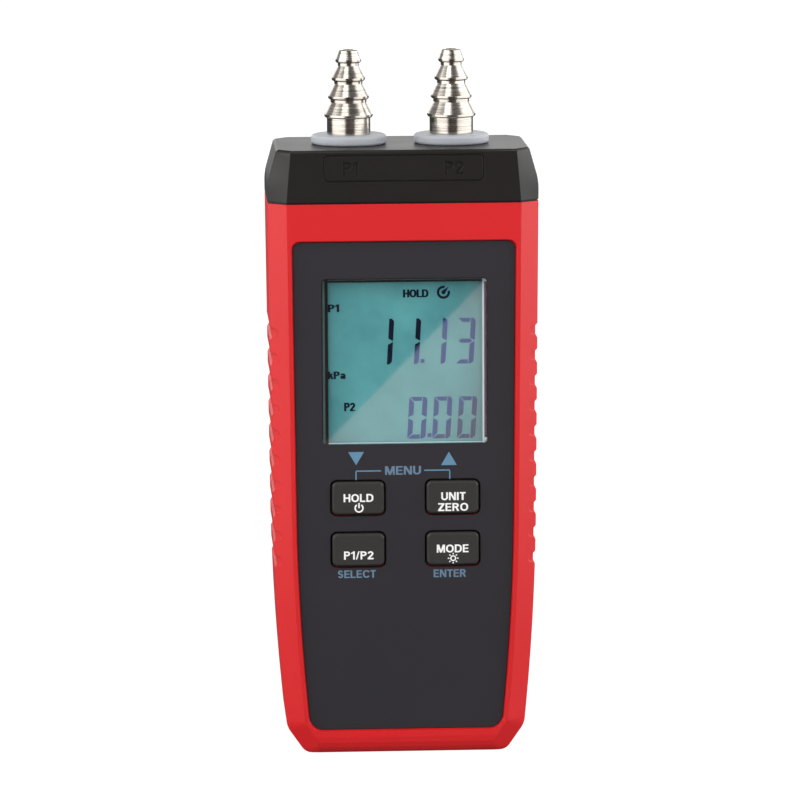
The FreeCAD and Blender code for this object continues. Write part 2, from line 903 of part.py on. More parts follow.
def sensor_tube(x):
    """Soft tube from a port's spigot down to its sensor."""
    low = sensor_low + sensor_height + nozzle_length - tube_overlap
    high = spigot_end + tube_overlap
    inner = spigot_radius + tube_fit
    tube = Part.makeCylinder(inner + tube_wall, high - low, Vector(x, 0, low))
    return tube.cut(Part.makeCylinder(inner, high - low, Vector(x, 0, low)))


def battery_cell(index):
    """One cell with its positive nub, every other one turned end for end."""
    x = cell_pitch * (index - (cell_count - 1) / 2)
    can_top = cell_low + cell_length
    nub_top = can_top + cell_nub_length
    rim = cell_radius - cell_edge
    profile = [(0.0, cell_low), (rim, cell_low), (cell_radius, cell_low + cell_edge)]
    profile += [(cell_radius, can_top - cell_edge), (rim, can_top), (cell_nub_radius, can_top)]
    profile += [(cell_nub_radius, nub_top), (0.0, nub_top)]
    cell = turned(profile, x)
    if index % 2:
        cell.rotate(Vector(x, 0, (tray_low + tray_high) / 2), Vector(0, 1, 0), 180)
    cell.translate(Vector(0, cell_axis, 0))
    return cell


def battery_contacts():
    """Flat contacts at one end of the tray and bowed leaf springs at the other."""
    solids = []
    low_y = cell_axis - contact_width / 2
    high_y = cell_axis + contact_width / 2
    for index in range(cell_count):
        x = cell_pitch * (index - (cell_count - 1) / 2)
        plate_end, spring_end = (tray_low, tray_high) if index % 2 else (tray_high, tray_low)
        inward = 1 if spring_end < plate_end else -1
        left = x - contact_width / 2
        right = x + contact_width / 2
        plate = sorted((plate_end, plate_end - inward * contact_thickness))
        solids.append(block(left, right, low_y, high_y, plate[0], plate[1]))
        bow = spring_room - contact_thickness - stack_gap
        crest = spring_end + inward * bow
        start = Vector(left, low_y, spring_end)
        crown = Vector(x, low_y, crest)
        end = Vector(right, low_y, spring_end)
        lift = Vector(0, 0, inward * contact_thickness)
        rim = [
            Part.Arc(start, crown, end).toShape(),
            Part.LineSegment(end, end + lift).toShape(),
            Part.Arc(end + lift, crown + lift, start + lift).toShape(),
            Part.LineSegment(start + lift, start).toShape(),
        ]
        solids.append(Part.Face(Part.Wire(rim)).extrude(Vector(0, contact_width, 0)))
    return Part.makeCompound(solids)


def screw(x, z, seat, radius, head_radius, head_height, length):
    """Pan head screw with a cross slot, its shank running towards the front."""
    top = seat + head_height
    shank = rod(radius, x, z, seat - length, seat)
    head = rod(head_radius, x, z, seat, top)
    edge_size = head_height * head_edge_share
    rim = [edge for edge in head.Edges if edge.BoundBox.YMin > seat + edge_size]
    body = union([shank, head.makeChamfer(edge_size, rim)])
    slot_floor = top - head_height * slot_depth_share
    across = centred_block(x, z, 2 * head_radius, slot_width, slot_floor, top)
    upright = centred_block(x, z, slot_width, 2 * head_radius, slot_floor, top)
    return body.cut([across, upright])


def housing_screws():
    """The four screws that hold the shells together, from the back."""
    screws = []
    for x, z in screw_places():
        one = screw(x, z, head_seat, screw_radius, screw_head_radius, screw_head_height, screw_length)
        screws.append(one)
    return Part.makeCompound(screws)


def board_screws():
    """The four screws that hold the board on its posts."""
    screws = []
    length = board_screw_length + board_thickness - pilot_room
    radius = board_screw_radius - thread_fit
    for x, z in post_places():
        one = screw(x, z, board_back, radius, board_screw_head, board_screw_head_height, length)
        screws.append(one)
    return Part.makeCompound(screws)


def door_screw():
    """The screw that keeps the battery door shut."""
    seat = back - board_screw_head_height
    length = door_screw_length + door_thickness - board_screw_head_height - pilot_room
    radius = board_screw_radius - thread_fit
    return screw(0, door_screw_height, seat, radius, board_screw_head, door_screw_head_height, length)


def build():
    """Makes every piece and writes it."""
    os.makedirs("parts", exist_ok=True)
    notches = notch_cutters()
    seam = seam_cutter()
    save("front_shell", front_shell(notches, seam))
    save("rear_shell", rear_shell(notches, seam))
    save("top_cap", top_cap())
    save("face_panel", face_panel())
    save("window_lens", window_lens())
    save("lcd_holder", lcd_holder())
    save("lcd_glass", lcd_glass())
    save("backlight", backlight())
    save("contact_strip", contact_strip())
    save("keypad_mat", keypad_mat())
    for name, x, z in key_places():
        save(name, key(x, z))
    save("circuit_board", circuit_board())
    save("board_chips", board_chips())
    save("buzzer", buzzer())
    for number, side in ((1, -1), (2, 1)):
        x = side * port_half_spacing
        save("hose_barb_%d" % number, hose_barb(x))
        save("port_washer_%d" % number, port_washer(x))
        save("port_nut_%d" % number, port_nut(x))
        save("pressure_sensor_%d" % number, pressure_sensor(x))
        save("sensor_tube_%d" % number, sensor_tube(x))
    for index in range(cell_count):
        save("battery_cell_%d" % (index + 1), battery_cell(index))
    save("battery_contacts", battery_contacts())
    save("battery_door", battery_door())
    save("door_screw", door_screw())
    save("housing_screws", housing_screws())
    save("board_screws", board_screws())


build()
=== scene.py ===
import json
import math

import bmesh
import bpy
from mathutils import Matrix, Vector


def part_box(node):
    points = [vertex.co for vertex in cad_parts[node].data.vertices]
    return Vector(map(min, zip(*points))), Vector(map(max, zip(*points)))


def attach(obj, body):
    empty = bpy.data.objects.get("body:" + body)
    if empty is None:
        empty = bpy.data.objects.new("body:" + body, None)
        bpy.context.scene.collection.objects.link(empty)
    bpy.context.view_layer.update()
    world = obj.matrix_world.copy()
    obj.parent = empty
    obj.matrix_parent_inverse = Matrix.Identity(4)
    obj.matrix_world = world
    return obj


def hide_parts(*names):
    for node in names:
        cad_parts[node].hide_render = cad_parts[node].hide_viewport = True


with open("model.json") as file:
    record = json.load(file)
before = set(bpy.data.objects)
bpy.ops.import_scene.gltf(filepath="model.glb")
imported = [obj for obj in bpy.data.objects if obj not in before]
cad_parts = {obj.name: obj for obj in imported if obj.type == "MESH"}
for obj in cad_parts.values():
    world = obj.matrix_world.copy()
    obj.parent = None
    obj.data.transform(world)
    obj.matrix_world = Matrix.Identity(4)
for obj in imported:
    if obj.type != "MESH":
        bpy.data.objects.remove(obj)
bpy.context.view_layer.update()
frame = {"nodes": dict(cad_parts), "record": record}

# One millimetre in the frame's metres. Sizes below are in millimetres unless they say otherwise.
MM = 0.001

# Camera, as the photograph was taken
CAMERA_AIM = (-1.2, -17.0, 86.85)
CAMERA_DISTANCE = 1300.0
CAMERA_AZIMUTH = -2.9
CAMERA_ELEVATION = 8.6
CAMERA_ROLL = -0.3
CAMERA_LENS = 243.75

# Print lies this far in front of what carries it, and the port names are cut this deep
INK_LIFT = 0.015
CUT_DEPTH = 0.3

# Bold plain letters, one unit high. Bars are left, right, foot and head; arcs are a centre, an outer radius,
# a start and a turn in degrees; patches are the corners of slanting strokes.
STEM = 0.19
LETTER_SPACE = 0.1
LETTER_STEPS = 16
UPRIGHT = (0, STEM, 0, 1)
BOWL = ((STEM, 0.36, 0.81, 1), (STEM, 0.36, 0.41, 0.6))
BOWL_END = (0.36, 0.705, 0.295, -90, 180)
LETTERS = {
    "H": {"width": 0.72, "bars": (UPRIGHT, (0.53, 0.72, 0, 1), (STEM, 0.53, 0.41, 0.59))},
    "O": {
        "width": 0.8,
        "bars": ((0, STEM, 0.4, 0.6), (0.61, 0.8, 0.4, 0.6)),
        "arcs": ((0.4, 0.6, 0.4, 0, 180), (0.4, 0.4, 0.4, 180, 180)),
    },
    "L": {"width": 0.58, "bars": (UPRIGHT, (STEM, 0.58, 0, 0.18))},
    "D": {
        "width": 0.74,
        "bars": (UPRIGHT, (STEM, 0.34, 0.81, 1), (STEM, 0.34, 0, STEM), (0.55, 0.74, 0.4, 0.6)),
        "arcs": ((0.34, 0.6, 0.4, 0, 90), (0.34, 0.4, 0.4, -90, 90)),
    },
    "U": {
        "width": 0.7,
        "bars": ((0, STEM, 0.35, 1), (0.51, 0.7, 0.35, 1)),
        "arcs": ((0.35, 0.35, 0.35, 180, 180),),
    },
    "N": {
        "width": 0.72,
        "bars": ((0, 0.18, 0, 1), (0.54, 0.72, 0, 1)),
        "patches": (((0, 1), (0.22, 1), (0.72, 0), (0.5, 0)),),
    },
    "I": {"width": 0.2, "bars": ((0, 0.2, 0, 1),)},
    "T": {"width": 0.62, "bars": ((0, 0.62, 0.82, 1), (0.21, 0.41, 0, 0.82))},
    "Z": {
        "width": 0.64,
        "bars": ((0, 0.64, 0.82, 1), (0, 0.64, 0, 0.18)),
        "patches": (((0, 0.18), (0.26, 0.18), (0.64, 0.82), (0.38, 0.82)),),
    },
    "E": {
        "width": 0.6,
        "bars": (UPRIGHT, (STEM, 0.59, 0.83, 1), (STEM, 0.57, 0.43, 0.59), (STEM, 0.6, 0, 0.17)),
    },
    "R": {
        "width": 0.7,
        "bars": (UPRIGHT, *BOWL),
        "arcs": (BOWL_END,),
        "patches": (((0.3, 0.45), (0.5, 0.45), (0.7, 0), (0.48, 0)),),
    },
    "P": {"width": 0.66, "bars": (UPRIGHT, *BOWL), "arcs": (BOWL_END,)},
    "M": {
        "width": 0.86,
        "bars": ((0, 0.17, 0, 1), (0.69, 0.86, 0, 1)),
        "patches": (
            ((0, 1), (0.25, 1), (0.52, 0), (0.34, 0)),
            ((0.86, 1), (0.61, 1), (0.34, 0), (0.52, 0)),
        ),
    },
    "C": {
        "width": 0.74,
        "bars": ((0, STEM, 0.4, 0.6),),
        "arcs": ((0.4, 0.6, 0.4, 22, 158), (0.4, 0.4, 0.4, 180, 158)),
    },
    "S": {"width": 0.62, "arcs": ((0.31, 0.705, 0.295, 15, 255), (0.31, 0.295, 0.295, -165, 255))},
    "1": {
        "width": 0.4,
        "bars": ((0.21, 0.4, 0, 1),),
        "patches": (((0, 0.68), (0.21, 0.76), (0.21, 1), (0.13, 0.88), (0, 0.83)),),
    },
    "2": {
        "width": 0.62,
        "bars": ((0, 0.62, 0, 0.18),),
        "arcs": ((0.31, 0.69, 0.31, -30, 205),),
        "patches": (((0, 0.18), (0.27, 0.18), (0.585, 0.545), (0.43, 0.66)),),
    },
    "/": {"width": 0.4, "patches": (((0, 0), (0.14, 0), (0.4, 1), (0.26, 1)),)},
    "k": {
        "width": 0.6,
        "bars": (UPRIGHT,),
        "patches": (
            ((STEM, 0.26), (STEM, 0.5), (0.36, 0.74), (0.58, 0.74)),
            ((0.24, 0.4), (0.4, 0.54), (0.62, 0), (0.4, 0)),
        ),
    },
    "a": {
        "width": 0.6,
        "bars": ((0.39, 0.58, 0, 0.5),),
        "arcs": ((0.26, 0.23, 0.23, 0, 360), (0.3, 0.46, 0.28, 0, 165)),
    },
}

# Each stroke lies one layer in front of the last, and a display word is struck twice, a little apart
LAYER = 0.003
STRIKE_LAYERS = 4
DISPLAY_STRIKES = (-0.09, 0.09)

# Clear window: half its width and its corner radius, and how far the lens reaches behind the front wall.
# Sleeve, a dark sheet as painted shade in the gap round the lens: its two faces from the opening's edge, and
# its step back from the panel's face.
# Painted glints (painted highlights) in the corners: side, height, inner and outer radius and start angle.
WINDOW_HALF = 19.9
WINDOW_ROUND = 1.1
FLANGE_DEPTH = 1.02
SLEEVE = (0.02, 0.08)
SLEEVE_STEP = 0.05
SLEEVE_STEPS = 8
PAINTED_GLINT_STEPS = 10
PAINTED_WINDOW_GLINTS = (
    (-1, 1, 0.85, 1.02, 90),
    (1, 1, 0.35, 1.0, 0),
    (1, -1, 0.3, 1.0, 270),
)

# Places of the print in the front view, as left, right, foot and head
KEY_WORDS = (
    ("hold_key", "HOLD", (-14.92, -7.74, 62.15, 64.1)),
    ("unit_key", "UNIT", (8.62, 14.5, 62.3, 64.25)),
    ("unit_key", "ZERO", (7.86, 15.1, 59.65, 61.6)),
    ("select_key", "P1/P2", (-14.9, -7.8, 48.1, 50.1)),
    ("mode_key", "MODE", (7.5, 15.16, 49.5, 51.45)),
)
KEY_BODIES = {
    "hold_key": "hold_button",
    "unit_key": "unit_button",
    "select_key": "select_button",
    "mode_key": "mode_button",
}
PANEL_WORDS = (
    ("MENU", (-4.85, 3.8, 68.55, 70.65)),
    ("SELECT", (-16.4, -7.2, 43.45, 45.35)),
    ("ENTER", (6.75, 14.6, 43.35, 45.25)),
)
DISPLAY_WORDS = (
    ("HOLD", (-0.1, 5.85, 111.2, 113.1)),
    ("P1", (-18.15, -15.6, 107.85, 109.7)),
    ("kPa", (-18.3, -14.15, 91.6, 93.45)),
    ("P2", (-14.4, -11.9, 83.75, 85.8)),
)
CAP_WORDS = (
    ("P1", (-14.6, -10.9, 141.0, 144.25)),
    ("P2", (9.75, 14.25, 141.0, 144.25)),
)

# Panel signs: the arrows' middle, base, tip and half width, then the bracket line's height, foot and width,
# and its outer and inner ends
ARROWS = ((-11.8, 74.2, 71.0, 1.9), (10.55, 70.75, 74.0, 1.9))
MENU_LINE_HEIGHT = 69.55
MENU_LINE_FOOT = 67.35
MENU_LINE_WIDTH = 0.3
MENU_LINES = ((-11.85, -5.8), (10.75, 4.6))

# Key signs: the power sign's ring and stroke, and the lamp sign's ring and rays
POWER_PLACE = (-11.2, 60.65)
POWER_RING = (0.75, 1.12)
POWER_START = 125
POWER_TURN = 290
POWER_STROKE_HALF = 0.18
POWER_STROKE_HEIGHT = 1.25
LAMP_PLACE = (11.45, 48.1)
LAMP_RING = (0.42, 0.72)
LAMP_RAYS = 8
LAMP_RAY = (0.9, 1.3)
LAMP_RAY_HALF = 0.13

# Liquid crystal digits: slant, width, strokes of the upright and the level bars, cut corner, breaks between
# the bars, share of the stroke by which the middle ends slope, the middle bar's two steps, and the two rows
DIGIT_SLANT = 0.06
DIGIT_WIDTH = 4.4
DIGIT_STROKE = 1.2
DIGIT_LEVEL = 1.02
DIGIT_CORNER = 0.62
DIGIT_BREAK = 0.18
DIGIT_SLOPE = 0.55
WAIST_FLAT = 1.15
WAIST_POINT = 0.5
UPPER_ROW = {"foot": 95.0, "height": 11.1, "lefts": (-7.35, -0.85, 5.55, 12.3), "text": "1113"}
LOWER_ROW = {"foot": 76.85, "height": 10.2, "lefts": (0.65, 6.65, 12.65), "text": "000"}
UPPER_POINT = (4.45, 95.75)
LOWER_POINT = (6.05, 77.65)
POINT_HALF = 0.48
SEGMENTS = {"0": "abcdef", "1": "bc", "3": "abcdg"}

# Timer sign: ring, hub, and the hand's tip and the two corners of its root, from the sign's middle
TIMER_PLACE = (9.55, 112.35)
TIMER_RING = (1.0, 1.6)
TIMER_START = 75
TIMER_TURN = 300
TIMER_HUB = 0.5
TIMER_HAND = ((1.3, 1.4), (-0.5, 0.25), (0.25, -0.5))

# Edge of the clear window as painted highlight, painted reflection and painted shade: how far behind the
# lens its lines lie, and each line's tone, side and reach inwards
LINE_STEP = 0.02
LINE_LAYER = 0.01
PAINTED_WINDOW_EDGES = (
    ("painted_shade_edge", "left", 0.0, 0.3),
    ("painted_reflection_edge", "left", 0.3, 0.85),
    ("painted_shade_edge", "left", 0.85, 1.6),
    ("painted_shade_edge", "head", 0.0, 0.3),
    ("painted_reflection_edge", "head", 0.3, 0.55),
    ("painted_shade_edge", "head", 0.55, 1.05),
    ("painted_blue_shade_edge", "right", 0.0, 0.65),
    ("painted_highlight_edge", "right", 0.65, 1.1),
    ("painted_highlight_edge", "foot", 0.0, 0.22),
)

# Moulded finishes: colour on the screen, roughness, grain scale, grain depth, tone and specular level
MOULDED = {
    "red_plastic": ((212, 19, 25), 0.42, 3800.0, 0.3, 0.08, 0.5),
    "black_plastic": ((23, 20, 18), 0.42, 3200.0, 0.35, 0.1, 0.42),
    "panel_film": ((44, 43, 48), 0.42, 5200.0, 0.2, 0.05, 0.35),
    "holder_plastic": ((22, 24, 24), 0.5, 3000.0, 0.2, 0.1, 0.5),
    "light_guide": ((225, 230, 226), 0.3, 2000.0, 0.1, 0.03, 0.5),
    "contact_rubber": ((190, 96, 130), 0.6, 2000.0, 0.3, 0.1, 0.5),
    "key_rubber": ((47, 46, 45), 0.5, 4200.0, 0.3, 0.08, 0.45),
    "board_laminate": ((22, 84, 50), 0.4, 1800.0, 0.3, 0.15, 0.5),
    "chip_plastic": ((28, 28, 30), 0.5, 2500.0, 0.3, 0.1, 0.5),
    "sensor_plastic": ((225, 224, 218), 0.45, 2500.0, 0.3, 0.05, 0.5),
    "tube_silicone": ((222, 222, 214), 0.4, 1500.0, 0.1, 0.05, 0.5),
    "cell_jacket": ((196, 170, 60), 0.3, 1500.0, 0.1, 0.05, 0.5),
    "door_plastic": ((44, 42, 42), 0.45, 3200.0, 0.35, 0.1, 0.5),
    "white_ink": ((244, 244, 244), 0.5, 6000.0, 0.2, 0.03, 0.5),
    "blue_ink": ((93, 138, 168), 0.5, 6000.0, 0.2, 0.05, 0.5),
    "grey_ink": ((98, 126, 150), 0.5, 6000.0, 0.2, 0.05, 0.5),
    # The next four are not real finishes: painted shade, painted reflection, painted shade and painted
    # highlight for the window's edge
    "painted_shade_edge": ((14, 18, 20), 0.4, 3000.0, 0.05, 0.3, 0.2),
    "painted_reflection_edge": ((92, 116, 116), 0.4, 3000.0, 0.05, 0.2, 0.2),
    "painted_blue_shade_edge": ((6, 16, 60), 0.4, 3000.0, 0.05, 0.2, 0.2),
    "painted_highlight_edge": ((205, 232, 240), 0.4, 3000.0, 0.05, 0.1, 0.2),
}
MILKY_WASHER = ((177, 181, 187), 0.45, 1500.0, 0.1, 0.05, 0.25)

# Display ink from near black to the blue of a painted glare reflection: places on the ramp and colours on
# the screen
INK_AND_GLARE_STEPS = ((0.17, (0, 3, 34)), (0.24, (18, 84, 140)), (0.98, (20, 86, 138)), (1.0, (34, 84, 118)))

# Lamps in metres: name, place, aim, size, radiance (at one a white just clips), turn in degrees and tint
WHITE = (1.0, 1.0, 1.0)
MIDDLE = (0.0, 0.0, 0.09)
WALL_AIM = (0.0, 0.0, 0.46)
GLARE_AIM = (0.0412, 0.0, 0.0192)
LAMPS = (
    ("left_wall", (-0.74, -0.43, 0.46), WALL_AIM, (1.35, 0.9), 2.75, 0.0, WHITE),
    ("right_wall", (0.79, -0.14, 0.46), WALL_AIM, (1.9, 0.9), 2.6, 0.0, WHITE),
    ("key_lamp", (-0.35, -0.7, 1.15), MIDDLE, (0.6, 0.5), 3.1, 0.0, WHITE),
    ("back_strip", (0.0, 1.6, 0.42), MIDDLE, (2.4, 0.6), 1.22, 0.0, WHITE),
    ("window_glare", (0.0412, -0.4, 0.0192), GLARE_AIM, (0.13, 0.06), 1.5, 45.5, (1.0, 0.6, 0.55)),
)

# Surroundings in front and behind; the floor's half size in metres, its tone and the light that it sends up
WORLD_FRONT = 0.1
WORLD_BACK = 0.5
FLOOR_HALF = 12.0
FLOOR_TONE = 0.06
FLOOR_BOUNCE = 0.35


def new_material(name, base, roughness, metallic=0.0):
    """A material with one Principled shader; returns it with its node tree and shader."""
    made = bpy.data.materials.new(name)
    made.use_nodes = True
    made.diffuse_color = (*base, 1.0)
    tree = made.node_tree
    shader = tree.nodes["Principled BSDF"]
    shader.inputs["Base Color"].default_value = (*base, 1.0)
    shader.inputs["Roughness"].default_value = roughness
    shader.inputs["Metallic"].default_value = metallic
    return made, tree, shader


def srgb(red, green, blue):
    """Linear colour of an 8-bit screen colour."""
    shares = (red / 255, green / 255, blue / 255)
    return tuple(s / 12.92 if s <= 0.04045 else ((s + 0.055) / 1.055) ** 2.4 for s in shares)


def node(tree, kind, **settings):
    """Adds a node and sets its plain properties."""
    made = tree.nodes.new(kind)
    for key, value in settings.items():
        setattr(made, key, value)
    return made


def moulded_surface_group():
    """Fine grain and rounded edges of moulded plastic, with broad, faint patches of shine and tone."""
    tree = bpy.data.node_groups.new("moulded_surface", "ShaderNodeTree")
    face = tree.interface
    face.new_socket("Color", in_out="INPUT", socket_type="NodeSocketColor")
    floats = {"Grain Scale": 3500.0, "Grain Depth": 0.25, "Tone": 0.06, "Roughness": 0.45, "Edge": 0.25 * MM}
    for name, value in floats.items():
        face.new_socket(name, in_out="INPUT", socket_type="NodeSocketFloat").default_value = value
    face.new_socket("Color", in_out="OUTPUT", socket_type="NodeSocketColor")
    face.new_socket("Roughness", in_out="OUTPUT", socket_type="NodeSocketFloat")
    face.new_socket("Normal", in_out="OUTPUT", socket_type="NodeSocketVector")
    given = node(tree, "NodeGroupInput")
    out = node(tree, "NodeGroupOutput")
    place = node(tree, "ShaderNodeTexCoord")
    link = tree.links.new

    grain = node(tree, "ShaderNodeTexNoise")
    grain.inputs["Detail"].default_value = 2.0
    link(place.outputs["Object"], grain.inputs["Vector"])
    link(given.outputs["Grain Scale"], grain.inputs["Scale"])
    edges = node(tree, "ShaderNodeBevel", samples=4)
    link(given.outputs["Edge"], edges.inputs["Radius"])
    bump = node(tree, "ShaderNodeBump")
    bump.inputs["Distance"].default_value = 0.05 * MM
    link(edges.outputs["Normal"], bump.inputs["Normal"])
    link(given.outputs["Grain Depth"], bump.inputs["Strength"])
    link(grain.outputs["Fac"], bump.inputs["Height"])
    link(bump.outputs["Normal"], out.inputs["Normal"])

    patches = node(tree, "ShaderNodeTexNoise")
    patches.inputs["Scale"].default_value = 45.0
    patches.inputs["Detail"].default_value = 3.0
    link(place.outputs["Object"], patches.inputs["Vector"])
    spread = node(tree, "ShaderNodeMath", operation="SUBTRACT")
    spread.inputs[1].default_value = 0.5
    link(patches.outputs["Fac"], spread.inputs[0])
    tone = node(tree, "ShaderNodeMath", operation="MULTIPLY_ADD")
    tone.inputs[2].default_value = 1.0
    link(spread.outputs[0], tone.inputs[0])
    link(given.outputs["Tone"], tone.inputs[1])
    shade = node(tree, "ShaderNodeVectorMath", operation="SCALE")
    link(given.outputs["Color"], shade.inputs[0])
    link(tone.outputs[0], shade.inputs["Scale"])
    link(shade.outputs[0], out.inputs["Color"])
    polish = node(tree, "ShaderNodeMath", operation="MULTIPLY_ADD")
    polish.inputs[1].default_value = 0.12
    link(spread.outputs[0], polish.inputs[0])
    link(given.outputs["Roughness"], polish.inputs[2])
    link(polish.outputs[0], out.inputs["Roughness"])
    return tree


def moulded(name, group, screen_colour, roughness, grain_scale, grain_depth, tone, specular):
    """Moulded plastic, rubber or ink that takes its grain from the shared group."""
    colour = srgb(*screen_colour)
    made, tree, shader = new_material(name, colour, roughness)
    surface = node(tree, "ShaderNodeGroup", node_tree=group)
    surface.inputs["Color"].default_value = (*colour, 1.0)
    surface.inputs["Grain Scale"].default_value = grain_scale
    surface.inputs["Grain Depth"].default_value = grain_depth
    surface.inputs["Tone"].default_value = tone
    surface.inputs["Roughness"].default_value = roughness
    tree.links.new(surface.outputs["Color"], shader.inputs["Base Color"])
    tree.links.new(surface.outputs["Roughness"], shader.inputs["Roughness"])
    tree.links.new(surface.outputs["Normal"], shader.inputs["Normal"])
    shader.inputs["Specular IOR Level"].default_value = specular
    return made


def turned_nickel():
    """Bright nickel on turned brass, with the fine rings that the cutting tool left."""
    made, tree, shader = new_material("turned_nickel", srgb(190, 184, 176), 0.25, 1.0)
    place = node(tree, "ShaderNodeTexCoord")
    rings = node(tree, "ShaderNodeMapping")
    rings.inputs["Scale"].default_value = (60.0, 60.0, 9000.0)
    noise = node(tree, "ShaderNodeTexNoise")
    noise.inputs["Scale"].default_value = 1.0
    noise.inputs["Detail"].default_value = 3.0
    bump = node(tree, "ShaderNodeBump")
    bump.inputs["Strength"].default_value = 0.35
    bump.inputs["Distance"].default_value = 0.02 * MM
    polish = node(tree, "ShaderNodeMapRange")
    polish.inputs["To Min"].default_value = 0.12
    polish.inputs["To Max"].default_value = 0.3
    tone = node(tree, "ShaderNodeValToRGB")
    tone.color_ramp.elements[0].position = 0.38
    tone.color_ramp.elements[0].color = (*srgb(150, 143, 134), 1.0)
    tone.color_ramp.elements[1].position = 0.62
    tone.color_ramp.elements[1].color = (*srgb(204, 198, 190), 1.0)
    tree.links.new(noise.outputs["Fac"], tone.inputs["Fac"])
    tree.links.new(tone.outputs["Color"], shader.inputs["Base Color"])
    tree.links.new(place.outputs["Object"], rings.inputs["Vector"])
    tree.links.new(rings.outputs["Vector"], noise.inputs["Vector"])
    tree.links.new(noise.outputs["Fac"], bump.inputs["Height"])
    tree.links.new(bump.outputs["Normal"], shader.inputs["Normal"])
    tree.links.new(noise.outputs["Fac"], polish.inputs["Value"])
    tree.links.new(polish.outputs["Result"], shader.inputs["Roughness"])
    return made


def milky_washer(group):
    """Milky soft plastic that lets light in."""
    made = moulded("milky_washer", group, *MILKY_WASHER)
    shader = made.node_tree.nodes["Principled BSDF"]
    shader.inputs["Subsurface Weight"].default_value = 0.5
    shader.inputs["Subsurface Radius"].default_value = (1.0, 1.0, 1.0)
    shader.inputs["Subsurface Scale"].default_value = 1.2 * MM
    return made


def clear_window():
    """Clear acrylic block; lamps reach the display behind it."""
    made, tree, shader = new_material("clear_acrylic", (1.0, 1.0, 1.0), 0.02)
    shader.inputs["IOR"].default_value = 1.49
    shader.inputs["Transmission Weight"].default_value = 1.0
    open_to_lamps = node(tree, "ShaderNodeBsdfTransparent")
    ray = node(tree, "ShaderNodeLightPath")
    mix = node(tree, "ShaderNodeMixShader")
    tree.links.new(ray.outputs["Is Shadow Ray"], mix.inputs["Fac"])
    tree.links.new(shader.outputs["BSDF"], mix.inputs[1])
    tree.links.new(open_to_lamps.outputs["BSDF"], mix.inputs[2])
    tree.links.new(mix.outputs["Shader"], tree.nodes["Material Output"].inputs["Surface"])
    return made


def display_glass():
    """Reflective liquid crystal field: teal with soft, cloudy changes of tone."""
    made, tree, shader = new_material("display_field", srgb(84, 152, 150), 0.35)
    place = node(tree, "ShaderNodeTexCoord")
    cloud = node(tree, "ShaderNodeTexNoise")
    cloud.inputs["Scale"].default_value = 60.0
    cloud.inputs["Detail"].default_value = 8.0
    cloud.inputs["Roughness"].default_value = 0.6
    ramp = node(tree, "ShaderNodeValToRGB")
    ramp.color_ramp.elements[0].position = 0.3
    ramp.color_ramp.elements[0].color = (*srgb(64, 140, 148), 1.0)
    ramp.color_ramp.elements[1].position = 0.7
    ramp.color_ramp.elements[1].color = (*srgb(96, 176, 178), 1.0)
    tree.links.new(place.outputs["Object"], cloud.inputs["Vector"])
    tree.links.new(cloud.outputs["Fac"], ramp.inputs["Fac"])
    tree.links.new(ramp.outputs["Color"], shader.inputs["Base Color"])
    return made


def display_ink():
    """Dark segments of the display: near black at the upper left, bluer towards the lower right as painted
    reflection of the window's glare.
    """
    made, tree, shader = new_material("display_segments", srgb(4, 8, 44), 0.6)
    shader.inputs["Specular IOR Level"].default_value = 0.1
    place = node(tree, "ShaderNodeTexCoord")
    parts = node(tree, "ShaderNodeSeparateXYZ")
    # A diagonal across the display: the lower right side gets the painted glare reflection
    glare_side = node(tree, "ShaderNodeMath", operation="SUBTRACT")
    spots = node(tree, "ShaderNodeTexNoise")
    spots.inputs["Scale"].default_value = 160.0
    sum_up = node(tree, "ShaderNodeMath", operation="MULTIPLY_ADD")
    sum_up.inputs[1].default_value = 30.0
    ramp = node(tree, "ShaderNodeValToRGB")
    steps = ramp.color_ramp.elements
    for place_on_ramp, _ in INK_AND_GLARE_STEPS[2:]:
        steps.new(place_on_ramp)
    for step, (place_on_ramp, colour) in zip(steps, INK_AND_GLARE_STEPS):
        step.position = place_on_ramp
        step.color = (*srgb(*colour), 1.0)
    shift = node(tree, "ShaderNodeMath", operation="MULTIPLY_ADD")
    shift.inputs[1].default_value = 0.16
    shift.inputs[2].default_value = 3.0
    tree.links.new(place.outputs["Object"], parts.inputs["Vector"])
    tree.links.new(parts.outputs["X"], glare_side.inputs[0])
    tree.links.new(parts.outputs["Z"], glare_side.inputs[1])
    tree.links.new(place.outputs["Object"], spots.inputs["Vector"])
    tree.links.new(spots.outputs["Fac"], shift.inputs[0])
    tree.links.new(glare_side.outputs[0], sum_up.inputs[0])
    tree.links.new(shift.outputs[0], sum_up.inputs[2])
    tree.links.new(sum_up.outputs[0], ramp.inputs["Fac"])
    tree.links.new(ramp.outputs["Color"], shader.inputs["Base Color"])
    return made


def build_materials():
    """Every finish, by the record's slot name or by its own."""
    grain = moulded_surface_group()
    finishes = {name: moulded(name, grain, *values) for name, values in MOULDED.items()}
    finishes["clear_window"] = clear_window()
    finishes["display_glass"] = display_glass()
    finishes["display_ink"] = display_ink()
    finishes["washer_plastic"] = milky_washer(grain)
    finishes["port_metal"] = turned_nickel()
    finishes["spring_metal"] = finishes["port_metal"]
    finishes["screw_steel"] = new_material("screw_steel", srgb(150, 150, 152), 0.3, 1.0)[0]
    return finishes


def dress_cad_nodes(finishes):
    """Gives every CAD node the finish of its material slot in the record."""
    for entry in frame["record"]["subparts"]:
        piece = frame["nodes"][entry["node"]]
        piece.data.materials.clear()
        piece.data.materials.append(finishes[entry["material_slot"]])


def finish_piece(name, shape, finish, body):
    """Turns a bmesh into a piece that rides on a body."""
    bmesh.ops.remove_doubles(shape, verts=shape.verts, dist=1e-7)
    mesh = bpy.data.meshes.new(name)
    shape.to_mesh(mesh)
    shape.free()
    mesh.materials.append(finish)
    piece = bpy.data.objects.new(name, mesh)
    bpy.context.scene.collection.objects.link(piece)
    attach(piece, body)
    return piece


